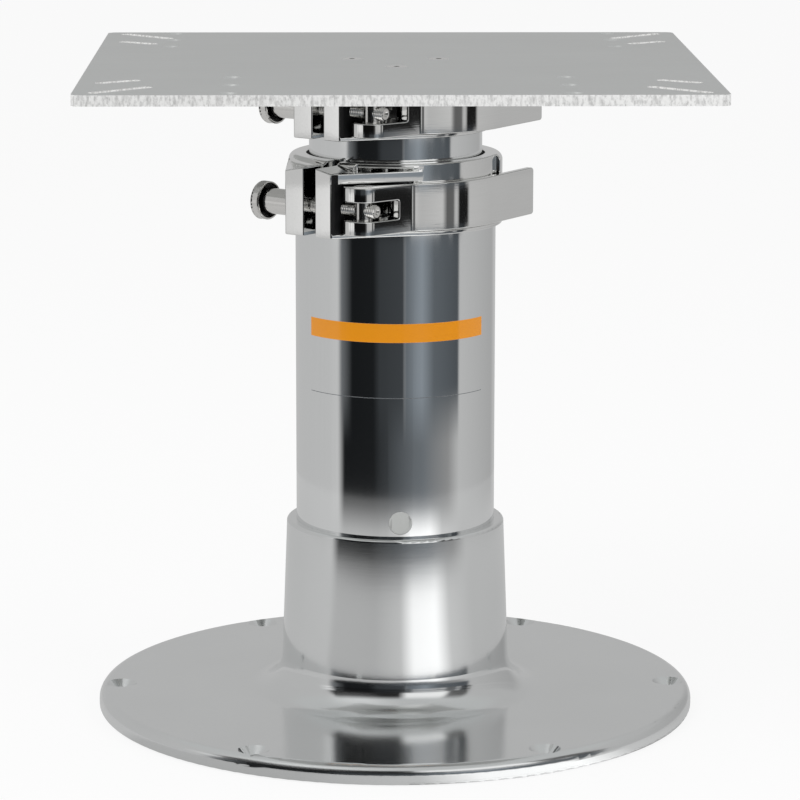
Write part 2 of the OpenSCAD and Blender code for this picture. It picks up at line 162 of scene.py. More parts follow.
class Paint:
    """Node tree of one material, written as calls and expressions."""

    def __init__(self, name: str) -> None:
        """Make an empty material.

        Args:
            name: The material's name.
        """
        self.material = bpy.data.materials.new(name)
        self.material.use_nodes = True
        self.tree = self.material.node_tree
        self.tree.nodes.clear()
        self.output = self.tree.nodes.new("ShaderNodeOutputMaterial")

    def add(self, kind: str, settings: dict, inputs: dict, out: int | str = 0) -> Term:
        """Add one node.

        Args:
            kind: The node's type.
            settings: Its properties, or a ramp's stops under the key stops.
            inputs: Values, colours or terms by socket name or number.
            out: The output to return.

        Returns:
            The output as a term.
        """
        node = self.tree.nodes.new(kind)
        for key, value in settings.items():
            if key == "stops":
                self.set_stops(node.color_ramp, value)
            else:
                setattr(node, key, value)
        for key, value in inputs.items():
            if isinstance(value, Term):
                self.tree.links.new(value.socket, node.inputs[key])
            else:
                node.inputs[key].default_value = value
        return Term(self, node.outputs[out])

    @staticmethod
    def set_stops(ramp: bpy.types.ColorRamp, stops: list[tuple[float, Colour]]) -> None:
        """Give a ramp its stops.

        Args:
            ramp: The ramp to fill.
            stops: Positions with their colours.
        """
        while len(ramp.elements) < len(stops):
            ramp.elements.new(1.0)
        for element, (place, colour) in zip(ramp.elements, stops):
            element.position = place
            element.color = (*colour, 1.0)

    def place(self) -> Term:
        """Object coordinates."""
        return self.add("ShaderNodeTexCoord", {}, {}, "Object")

    def axes(self, vector: Term) -> tuple[Term, Term, Term]:
        """The three components of a vector.

        Args:
            vector: The vector, such as the object coordinates.

        Returns:
            Its X, Y and Z.
        """
        first = self.add("ShaderNodeSeparateXYZ", {}, {0: vector}, "X")
        node = first.socket.node
        return first, Term(self, node.outputs["Y"]), Term(self, node.outputs["Z"])

    def noise(self, cells: Cells | float, detail: float) -> Term:
        """Noise whose cells may be stretched along the axes.

        Args:
            cells: Cells per metre, one number or one each for X, Y and Z.
            detail: Octaves of the noise.

        Returns:
            The noise, from 0 to 1.
        """
        scale = cells if isinstance(cells, tuple) else (cells, cells, cells)
        stretched = self.add("ShaderNodeMapping", {}, {"Vector": self.place(), "Scale": scale})
        inputs = {"Vector": stretched, "Scale": 1.0, "Detail": detail}
        return self.add("ShaderNodeTexNoise", {}, inputs, "Fac")

    def blend(self, mask: Term | float, low: "Colour | Term", high: "Colour | Term") -> Term:
        """Mix two colours by a mask.

        Args:
            mask: Share of the second colour.
            low: Colour where the mask is 0.
            high: Colour where the mask is 1.

        Returns:
            The mixed colour.
        """
        inputs = {"Factor": mask}
        for socket, colour in ((6, low), (7, high)):
            inputs[socket] = colour if isinstance(colour, Term) else (*colour, 1.0)
        return self.add("ShaderNodeMix", {"data_type": "RGBA"}, inputs, 2)

    def bump(self, height: Term, strength: float, depth: float) -> Term:
        """Normal of a surface raised by a height.

        Args:
            height: The height, from 0 to 1.
            strength: Share of the effect.
            depth: The relief's depth in metres.

        Returns:
            The normal.
        """
        inputs = {"Height": height, "Strength": strength, "Distance": depth}
        return self.add("ShaderNodeBump", {}, inputs)

    def finish(self, inputs: dict) -> bpy.types.Material:
        """Close the tree with a Principled shader.

        Args:
            inputs: Values or terms by the shader's socket names.

        Returns:
            The material.
        """
        shader = self.add("ShaderNodeBsdfPrincipled", {}, inputs)
        self.tree.links.new(shader.socket, self.output.inputs["Surface"])
        return self.material


@dataclass(frozen=True)
class Metal:
    """Bare metal with fine marks along one direction."""

    name: str
    colour: Colour
    roughness: float
    grain: Grain
    marks: float = 0.25
    relief: float = 0.02 * MM
    cloud_cells: float = 22.0
    dull_share: float = 0.9

    def build(self) -> bpy.types.Material:
        """Material of the metal.

        Returns:
            The material, with its marks in roughness, colour and relief.
        """
        paint = Paint(self.name)
        fine = paint.noise(self.grain.value, 3.0)
        clouds = paint.noise(self.cloud_cells, 3.0)
        duller = shade(self.colour, self.dull_share)
        spread = self.roughness * self.marks
        return paint.finish(
            {
                "Base Color": paint.blend(clouds * fine * 1.6, self.colour, duller),
                "Metallic": 1.0,
                "Roughness": (fine + clouds) * spread + (self.roughness - spread),
                "Normal": paint.bump(fine, self.marks, self.relief),
            }
        )


@dataclass(frozen=True)
class Casting:
    """Casting with a neck polished in rings and a satin flange."""

    name: str
    colour: Colour = (0.80, 0.81, 0.81)
    neck_roughness: float = 0.10
    flange_roughness: float = 0.15
    change_z: float = 20 * MM
    change_soft: float = 8 * MM
    turning: float = 5200.0
    ring_cells: Cells = (40.0, 40.0, 2400.0)
    pore_cells: float = 1500.0
    cloud_cells: float = 14.0
    dull_share: float = 0.93
    relief: float = 0.012 * MM

    def build(self) -> bpy.types.Material:
        """Material of the casting.

        Returns:
            The material, brightest on the neck.
        """
        paint = Paint(self.name)
        x, y, height = paint.axes(paint.place())
        neck = height.over(self.change_z, self.change_soft)
        radius = (x * x + y * y).join("SQRT")
        rings = paint.noise(self.ring_cells, 3.0)
        turned = (radius * self.turning + rings * 2.0).join("SINE") * 0.5 + 0.5
        pores = paint.noise(self.pore_cells, 2.0)
        clouds = paint.noise(self.cloud_cells, 4.0)
        flange_roughness = self.flange_roughness - 0.03 + clouds * 0.06
        neck_roughness = self.neck_roughness - 0.02 + rings * 0.04
        duller = shade(self.colour, self.dull_share)
        height_marks = rings * neck * 0.6 + (pores * 0.4 + turned * 0.15) * (1 - neck)
        return paint.finish(
            {
                "Base Color": paint.blend(clouds, self.colour, duller),
                "Metallic": 1.0,
                "Roughness": neck_roughness * neck + flange_roughness * (1 - neck),
                "Normal": paint.bump(height_marks, 0.25, self.relief),
            }
        )


@dataclass(frozen=True)
class DrawnTube:
    """Drawn tube with upright die marks and, on one tube, a plain printed band."""

    name: str
    printed: bool = False
    colour: Colour = (0.84, 0.85, 0.85)
    ink: Colour = (0.87, 0.32, 0.015)
    line_ink: Colour = (0.10, 0.11, 0.12)
    roughness: float = 0.06
    band_low: float = 225.8 * MM
    band_high: float = 236.6 * MM
    band_angle: float = math.radians(57.5)
    rule_z: float = 193.5 * MM
    rule_w: float = 0.35 * MM
    ink_soft: float = 0.12 * MM
    side_soft: float = 0.004
    cloud_cells: Cells = (18.0, 18.0, 9.0)
    dull_share: float = 0.93
    marks: float = 0.3
    relief: float = 0.01 * MM

    def build(self) -> bpy.types.Material:
        """Material of the tube.

        Returns:
            The material, with the band and its rule where the tube is printed.
        """
        paint = Paint(self.name)
        x, y, z = paint.axes(paint.place())
        die = paint.noise(Grain.UPRIGHT.value, 3.0)
        clouds = paint.noise(self.cloud_cells, 3.0)
        colour = paint.blend(clouds * die, self.colour, shade(self.colour, self.dull_share))
        metallic: Term | float = 1.0
        spread = self.roughness * self.marks
        if self.printed:
            angle = x.join("ARCTAN2", y * -1.0).join("ABSOLUTE")
            side = 1 - angle.over(self.band_angle, self.side_soft)
            band = z.within(self.band_low, self.band_high, self.ink_soft) * side
            rule = z.within(self.rule_z, self.rule_z + self.rule_w, self.ink_soft) * side
            colour = paint.blend(band, paint.blend(rule, colour, self.line_ink), self.ink)
            metallic = 1 - band - rule
        return paint.finish(
            {
                "Base Color": colour,
                "Metallic": metallic,
                "Roughness": (die + clouds) * spread + (self.roughness - spread),
                "Normal": paint.bump(die, 0.2, self.relief),
            }
        )


@dataclass(frozen=True)
class SheetPlate:
    """Rolled sheet: satin faces, and bright edges with shear marks."""

    name: str
    face: Colour = (0.68, 0.69, 0.68)
    edge: Colour = (0.92, 0.92, 0.91)
    face_roughness: float = 0.3
    edge_roughness: float = 0.5
    rolled_cells: Cells = (12.0, 1400.0, 12.0)
    cloud_cells: float = 16.0
    chatter_cells: Cells = (520.0, 520.0, 110.0)
    torn_cells: Cells = (900.0, 900.0, 500.0)
    relief: float = 0.25 * MM

    def build(self) -> bpy.types.Material:
        """Material of the plate.

        Returns:
            The material, parted into faces and edges by the surface's direction.
        """
        paint = Paint(self.name)
        tilt = paint.axes(paint.add("ShaderNodeTexCoord", {}, {}, "Normal"))[2].join("ABSOLUTE")
        flat = tilt.over(0.6, 0.3)
        rolled = paint.noise(self.rolled_cells, 3.0)
        clouds = paint.noise(self.cloud_cells, 4.0)
        chatter = paint.noise(self.chatter_cells, 4.0)
        torn = paint.noise(self.torn_cells, 3.0)
        face = paint.blend(clouds * rolled * 1.5, self.face, shade(self.face, 0.9))
        edge = paint.blend((chatter * torn * 4.0).over(0.8, 0.7), shade(self.edge, 0.62), self.edge)
        height = rolled * flat * 0.06 + (chatter + torn) * (1 - flat)
        rough = self.face_roughness - 0.03 + rolled * 0.06
        return paint.finish(
            {
                "Base Color": paint.blend(flat, edge, face),
                "Metallic": 0.25 + flat * 0.75,
                "Roughness": rough * flat + (1 - flat) * self.edge_roughness,
                "Normal": paint.bump(height, 0.7, self.relief),
            }
        )


@dataclass(frozen=True)
class Moulding:
    """Moulded plastic or rubber with a faint texture."""

    name: str
    colour: Colour
    roughness: float
    skin_cells: float = 1200.0
    cloud_cells: float = 60.0
    relief: float = 0.03 * MM

    def build(self) -> bpy.types.Material:
        """Material of the moulding.

        Returns:
            The material.
        """
        paint = Paint(self.name)
        skin = paint.noise(self.skin_cells, 2.0)
        clouds = paint.noise(self.cloud_cells, 2.0)
        worn = tuple(min(1.0, part * 1.25 + 0.003) for part in self.colour)
        return paint.finish(
            {
                "Base Color": paint.blend(clouds * 0.5, self.colour, worn),
                "Roughness": self.roughness - 0.05 + clouds * 0.1,
                "Normal": paint.bump(skin, 0.3, self.relief),
            }
        )


class Bench:
    """Modelling steps that every piece shares."""

    ROUNDED_FROM = math.radians(34)
    SMOOTH_TO = 40.0
    MERGED_WITHIN = 0.004 * MM
    FLAT_WITHIN = math.radians(0.6)

    @staticmethod
    def clear() -> None:
        """Leave edit mode and deselect everything."""
        if bpy.context.object and bpy.context.object.mode != "OBJECT":
            bpy.ops.object.mode_set(mode="OBJECT")
        bpy.ops.object.select_all(action="DESELECT")

    @staticmethod
    def take(piece: bpy.types.Object) -> bpy.types.Object:
        """Make a piece the only selected and active one.

        Args:
            piece: The piece.

        Returns:
            The same piece.
        """
        Bench.clear()
        piece.select_set(True)
        bpy.context.view_layer.objects.active = piece
        return piece

    @staticmethod
    def cylinder(name: str, radius: float, low: float, high: float, sides: int) -> bpy.types.Object:
        """Add a cylinder along Z.

        Args:
            name: The new piece's name.
            radius: Its radius.
            low: Height of its lower end.
            high: Height of its upper end.
            sides: Number of its sides.

        Returns:
            The new piece, selected and active.
        """
        Bench.clear()
        bpy.ops.mesh.primitive_cylinder_add(
            vertices=sides, radius=radius, depth=high - low, location=(0, 0, (low + high) / 2)
        )
        piece = bpy.context.object
        piece.name = name
        piece.data.name = name
        bpy.ops.object.transform_apply()
        return piece

    @staticmethod
    def prism(name: str, outline: list[Vector], low: float, high: float) -> bpy.types.Object:
        """Add an upright block with a given outline.

        Args:
            name: The new piece's name.
            outline: Corners of its outline, in order.
            low: Height of its lower end.
            high: Height of its upper end.

        Returns:
            The new piece, in edit mode.
        """
        Bench.clear()
        bpy.ops.mesh.primitive_circle_add(vertices=len(outline), radius=1.0, fill_type="NGON")
        piece = bpy.context.object
        piece.name = name
        for vert, corner in zip(piece.data.vertices, outline):
            vert.co = (corner.x, corner.y, low)
        bpy.ops.object.mode_set(mode="EDIT")
        bpy.ops.mesh.select_all(action="SELECT")
        Bench.extrude((0, 0, high - low))
        bpy.ops.mesh.select_all(action="SELECT")
        bpy.ops.mesh.normals_make_consistent(inside=False)
        return piece

    @staticmethod
    def pick(kind: Pick, test: Callable[[MeshPart], bool]) -> None:
        """Select parts of the mesh in edit mode.

        Args:
            kind: Vertices, edges or faces.
            test: Says of each one whether it is selected.
        """
        if bpy.context.object.mode != "EDIT":
            bpy.ops.object.mode_set(mode="EDIT")
        bpy.ops.mesh.select_mode(type=kind.value)
        bpy.ops.mesh.select_all(action="DESELECT")
        data = bpy.context.object.data
        mesh = bmesh.from_edit_mesh(data)
        parts = {Pick.VERTS: mesh.verts, Pick.EDGES: mesh.edges, Pick.FACES: mesh.faces}[kind]
        for part in parts:
            if test(part):
                part.select_set(True)
        mesh.select_flush_mode()
        bmesh.update_edit_mesh(data)

    @staticmethod
    def extrude(offset: tuple[float, float, float]) -> None:
        """Extrude the selected faces by an offset."""
        bpy.ops.mesh.extrude_region_move(TRANSFORM_OT_translate={"value": offset})

    @staticmethod
    def step_ends(steps: tuple[tuple[float, float], ...], *ends: int) -> None:
        """Inset a cylinder's end faces, one step after the other.

        Args:
            steps: Width and depth of each step.
            ends: The ends, 1 for the upper one and -1 for the lower one.
        """
        Bench.pick(Pick.FACES, lambda f: len(f.verts) > 8 and any(f.normal.z * end > 0.99 for end in ends))
        for width, depth in steps:
            bpy.ops.mesh.inset(thickness=width, depth=depth, use_individual=len(ends) > 1)

    @staticmethod
    def round_rim(height: float, radius: float, width: float, segments: int) -> None:
        """Bevel the round edge at one height and radius.

        Args:
            height: Height of the edge.
            radius: Its radius round Z.
            width: Width of the bevel.
            segments: Number of its steps.
        """

        def on_rim(vert: bmesh.types.BMVert) -> bool:
            """Whether a vertex lies on the edge."""
            return abs(vert.co.z - height) < 1e-5 and abs(vert.co.xy.length - radius) < 2e-4

        Bench.pick(Pick.EDGES, lambda edge: all(on_rim(vert) for vert in edge.verts))
        bpy.ops.mesh.bevel(offset=width, segments=segments, profile=0.5)

    @staticmethod
    def place(piece: bpy.types.Object, matrix: Matrix) -> None:
        """Move a piece into place, with the place in its mesh.

        Args:
            piece: The piece, made round the origin.
            matrix: Where it goes.
        """
        Bench.take(piece)
        piece.matrix_world = matrix
        bpy.ops.object.transform_apply()

    @staticmethod
    def apply(piece: bpy.types.Object, kind: str, **settings: object) -> None:
        """Add a modifier and apply it.

        Args:
            piece: The piece.
            kind: The modifier's type.
            settings: Its properties.
        """
        Bench.take(piece)
        modifier = piece.modifiers.new(kind.lower(), kind)
        for key, value in settings.items():
            setattr(modifier, key, value)
        bpy.ops.object.modifier_apply(modifier=modifier.name)

    @staticmethod
    def cut(piece: bpy.types.Object, tool: bpy.types.Object) -> None:
        """Take a tool's shape out of a piece and delete the tool."""
        Bench.apply(piece, "BOOLEAN", operation="DIFFERENCE", solver="EXACT", object=tool)
        bpy.data.objects.remove(tool)

    @staticmethod
    def weld(piece: bpy.types.Object, block: bpy.types.Object) -> None:
        """Unite a piece with a block and delete the block."""
        Bench.apply(piece, "BOOLEAN", operation="UNION", solver="EXACT", object=block)
        bpy.data.objects.remove(block)

    @staticmethod
    def join(piece: bpy.types.Object, other: bpy.types.Object) -> None:
        """Join another mesh into a piece.

        Args:
            piece: The piece.
            other: What goes into it. Its object is gone afterwards.
        """
        Bench.take(piece)
        other.select_set(True)
        bpy.ops.object.join()

    @staticmethod
    def smooth(piece: bpy.types.Object, angle: float) -> None:
        """Shade a piece smooth up to an angle, with its flat faces kept flat.

        Args:
            piece: The piece.
            angle: Greatest angle in degrees that is shaded smooth.
        """
        Bench.take(piece)
        bpy.ops.object.shade_smooth_by_angle(angle=math.radians(angle))
        Bench.apply(piece, "WEIGHTED_NORMAL", keep_sharp=True, weight=80)

    @staticmethod
    def new(mesh: bpy.types.Mesh, name: str) -> bpy.types.Object:
        """Make a piece with its own copy of a mesh.

        Args:
            mesh: The mesh to copy.
            name: The new piece's name.

        Returns:
            The new piece.
        """
        piece = bpy.data.objects.new(name, mesh.copy())
        piece.data.name = name
        bpy.context.scene.collection.objects.link(piece)
        return piece

    @staticmethod
    def copy(node: bpy.types.Object, name: str) -> bpy.types.Object:
        """Copy a solid as one merged mesh.

        Args:
            node: The solid from the frame.
            name: The new piece's name.

        Returns:
            The new piece.
        """
        piece = Bench.take(Bench.new(node.data, name))
        bpy.ops.mesh.customdata_custom_splitnormals_clear()
        bpy.ops.object.mode_set(mode="EDIT")
        bpy.ops.mesh.select_all(action="SELECT")
        bpy.ops.mesh.remove_doubles(threshold=Bench.MERGED_WITHIN)
        bpy.ops.mesh.dissolve_limited(angle_limit=Bench.FLAT_WITHIN)
        bpy.ops.object.mode_set(mode="OBJECT")
        return piece

    @staticmethod
    def ease(piece: bpy.types.Object, width: float) -> bpy.types.Object:
        """Round a piece's sharp edges.

        Args:
            piece: The piece.
            width: Width of the rounding.

        Returns:
            The same piece.
        """
        Bench.apply(
            piece,
            "BEVEL",
            width=width,
            segments=3,
            limit_method="ANGLE",
            angle_limit=Bench.ROUNDED_FROM,
            use_clamp_overlap=False,
            miter_outer="MITER_ARC",
        )
        Bench.smooth(piece, Bench.SMOOTH_TO)
        return piece


@dataclass
class Hardware:
    """Knob, stud and barrel nut, which are modelled once and copied to both clamps.

    Knob and stud lie on the stud's axes, with Z from the knob to the lever. The barrel
    nut stands round its own axis.
    """

    stud_z: float = 16.4 * MM
    stud_r: float = 4 * MM
    stud_end: float = 40 * MM
    stud_sides: int = 32
    stud_chamfer: float = 0.5 * MM
    stud_steps: tuple[tuple[float, float], ...] = ((1.0 * MM, 0.0), (0.9 * MM, -1.1 * MM))
    thread_low: float = -16 * MM
    thread_pitch: float = 1.25 * MM
    thread_depth: float = 0.65 * MM
    tooth_w: float = 0.62 * MM
    tooth_steps: int = 24
    thread_stop: float = 1.0 * MM
    barrel_t: float = 30.6 * MM
    barrel_r: float = 5 * MM
    barrel_low: float = 2.8 * MM
    barrel_h: float = 27.2 * MM
    barrel_sides: int = 48
    barrel_chamfer: float = 0.5 * MM
    barrel_steps: tuple[tuple[float, float], ...] = ((2.9 * MM, 0.0), (0.8 * MM, -0.8 * MM))
    drill_gap: float = 0.05 * MM
    knob_r: float = 11 * MM
    knob_near: float = 37 * MM
    knob_t: float = 5.7 * MM
    knob_edge: float = 0.6 * MM
    knob_steps: tuple[tuple[float, float], ...] = (
        (1.2 * MM, 0.0),
        (0.4 * MM, -0.3 * MM),
        (5.5 * MM, 0.0),
        (1.0 * MM, -0.6 * MM),
    )
    knurl_columns: int = 72
    knurl_rows: int = 6
    knurl_depth: float = 0.42 * MM
    lip: float = 0.5 * MM
    dish: float = 1.6 * MM
    root_r: float = 6.1 * MM
    root_past_head: float = 0.9 * MM
    # Radius and reach of the knob root's near-black painted shade
    black_r: float = 9.8 * MM
    black_past_head: float = 0.88 * MM
    shank_r: float = 7.35 * MM
    shank_end: float = 17.6 * MM
    shank_chamfer: float = 0.5 * MM
    masters: dict[str, tuple[bpy.types.Mesh, float]] = field(default_factory=dict)

    def knob(self) -> bpy.types.Object:
        """Knurled head with a dished root and a plain shank.

        Returns:
            The knob, whose root takes the second material, a near-black painted shade for the recess under
            the head.
        """
        far = -self.knob_near - self.knob_t
        near = -self.knob_near
        piece = Bench.cylinder("knob", self.knob_r, far, near, self.knurl_columns)
        for height in (far, near):
            Bench.round_rim(height, self.knob_r, self.knob_edge, 2)
        Bench.pick(Pick.EDGES, lambda e: abs(e.verts[0].co.z - e.verts[1].co.z) > self.knob_t / 2)
        bpy.ops.mesh.subdivide(number_cuts=self.knurl_rows - 1)
        low = far + self.knob_edge
        pitch = (self.knob_t - 2 * self.knob_edge) / self.knurl_rows
        step = 2 * math.pi / self.knurl_columns

        def in_valley(vert: bmesh.types.BMVert) -> bool:
            """Whether a vertex is one of the knurl's valleys.

            Args:
                vert: A vertex of the knob.

            Returns:
                True for every second one of the side's inner grid.
            """
            row = round((vert.co.z - low) / pitch)
            column = round(math.atan2(vert.co.y, vert.co.x) / step)
            on_side = vert.co.xy.length > self.knob_r - 1e-5
            return on_side and 0 < row < self.knurl_rows and (row + column) % 2 == 0

        Bench.pick(Pick.VERTS, in_valley)
        bpy.ops.transform.shrink_fatten(value=-self.knurl_depth)
        Bench.step_ends(self.knob_steps, -1)
        dished = self.knob_r - self.knob_edge - self.lip - self.root_r
        Bench.step_ends(((self.lip, 0.0), (dished, -self.dish)), 1)
        root_h = self.dish + self.root_past_head
        Bench.extrude((0, 0, root_h))
        Bench.extrude((0, 0, 0))
        widening = self.shank_r / self.root_r
        bpy.ops.transform.resize(value=(widening, widening, 1.0))
        Bench.extrude((0, 0, self.knob_near + self.dish - root_h - self.shank_end))
        Bench.round_rim(-self.shank_end, self.shank_r, self.shank_chamfer, 3)
        Bench.clear()
        # The root's faces take the second material: near-black painted shade where the recess under the head
        # lies in shadow
        for face in piece.data.polygons:
            in_root = near - self.dish < face.center.z < near + self.black_past_head
            face.material_index = int(in_root and face.center.xy.length < self.black_r)
        return piece

    def stud(self) -> bpy.types.Object:
        """Threaded stud with a chamfered, centre-drilled end.

        Returns:
            The stud.
        """
        core_r = self.stud_r - self.thread_depth
        start = -self.knob_near - self.knob_t / 2
        piece = Bench.cylinder("stud", core_r, start, self.stud_end, self.stud_sides)
        Bench.round_rim(self.stud_end, core_r, self.stud_chamfer, 2)
        Bench.step_ends(self.stud_steps, 1)
        Bench.join(piece, self.thread())
        return piece

    def thread(self) -> bpy.types.Object:
        """One tooth wound up the stud.

        Returns:
            The thread, closed at both ends.
        """
        turns = int((self.stud_end - self.thread_stop - self.thread_low) / self.thread_pitch)
        Bench.clear()
        bpy.ops.mesh.primitive_circle_add(vertices=3, radius=1.0)
        tooth = bpy.context.object
        axes = Matrix(((0, 1, 0, 0), (0, 0, -1, 0), (-1, 0, 0, 0), (0, 0, 0, 1)))
        # A circle of three points reaches 1.5 radii from its crest to its foot
        height = self.thread_depth / 1.5
        size = Matrix.Diagonal((height, 1.0, self.tooth_w, 1.0))
        crest = Matrix.Translation((self.stud_r - height, 0, self.thread_low + self.thread_depth))
        Bench.place(tooth, crest @ size @ axes)
        Bench.apply(
            tooth,
            "SCREW",
            axis="Z",
            angle=2 * math.pi,
            screw_offset=self.thread_pitch,
            iterations=turns,
            steps=self.tooth_steps,
            render_steps=self.tooth_steps,
        )
        bpy.ops.object.mode_set(mode="EDIT")
        bpy.ops.mesh.select_all(action="SELECT")
        bpy.ops.mesh.remove_doubles(threshold=0.001 * MM)
        bpy.ops.mesh.fill_holes(sides=3)
        bpy.ops.mesh.select_all(action="SELECT")
        bpy.ops.mesh.normals_make_consistent(inside=False)
        Bench.clear()
        return tooth

    def barrel_nut(self) -> bpy.types.Object:
        """Hinge pin of the lever, with the stud's hole across it.

        Returns:
            The barrel nut.
        """
        low = self.barrel_low
        high = low + self.barrel_h
        piece = Bench.cylinder("barrel_nut", self.barrel_r, low, high, self.barrel_sides)
        for height in (low, high):
            Bench.round_rim(height, self.barrel_r, self.barrel_chamfer, 3)
        Bench.step_ends(self.barrel_steps, 1, -1)
        drill = Bench.cylinder("drill", self.stud_r + self.drill_gap, 0, 2 * self.stud_end, self.stud_sides)
        across = Matrix.Translation((0, -self.barrel_t, self.stud_z))
        Bench.place(drill, across @ Matrix.Rotation(math.radians(-90), 4, "X"))
        Bench.cut(piece, drill)
        return piece

    def build(self) -> None:
        """Model each piece once and keep its mesh with the angle it is smoothed to."""
        for kind, piece, angle in (
            ("knob", self.knob(), 14.0),
            ("stud", self.stud(), 25.0),
            ("barrel_nut", self.barrel_nut(), 28.0),
        ):
            Bench.clear()
            self.masters[kind] = (piece.data, angle)
            bpy.data.objects.remove(piece)
            LOG.info("%s is modelled", kind)

    def copy(self, kind: str, name: str, matrix: Matrix) -> bpy.types.Object:
        """Copy a piece into place, with its own mesh.

        Args:
            kind: Which of the pieces.
            name: The new piece's name.
            matrix: Where it goes.

        Returns:
            The new piece.
        """
        mesh, angle = self.masters[kind]
        piece = Bench.new(mesh, name)
        Bench.place(piece, matrix)
        Bench.smooth(piece, angle)
        return piece

    def clear(self) -> None:
        """Delete the meshes that were copied."""
        for mesh, _ in self.masters.values():
            bpy.data.meshes.remove(mesh)
        self.masters.clear()


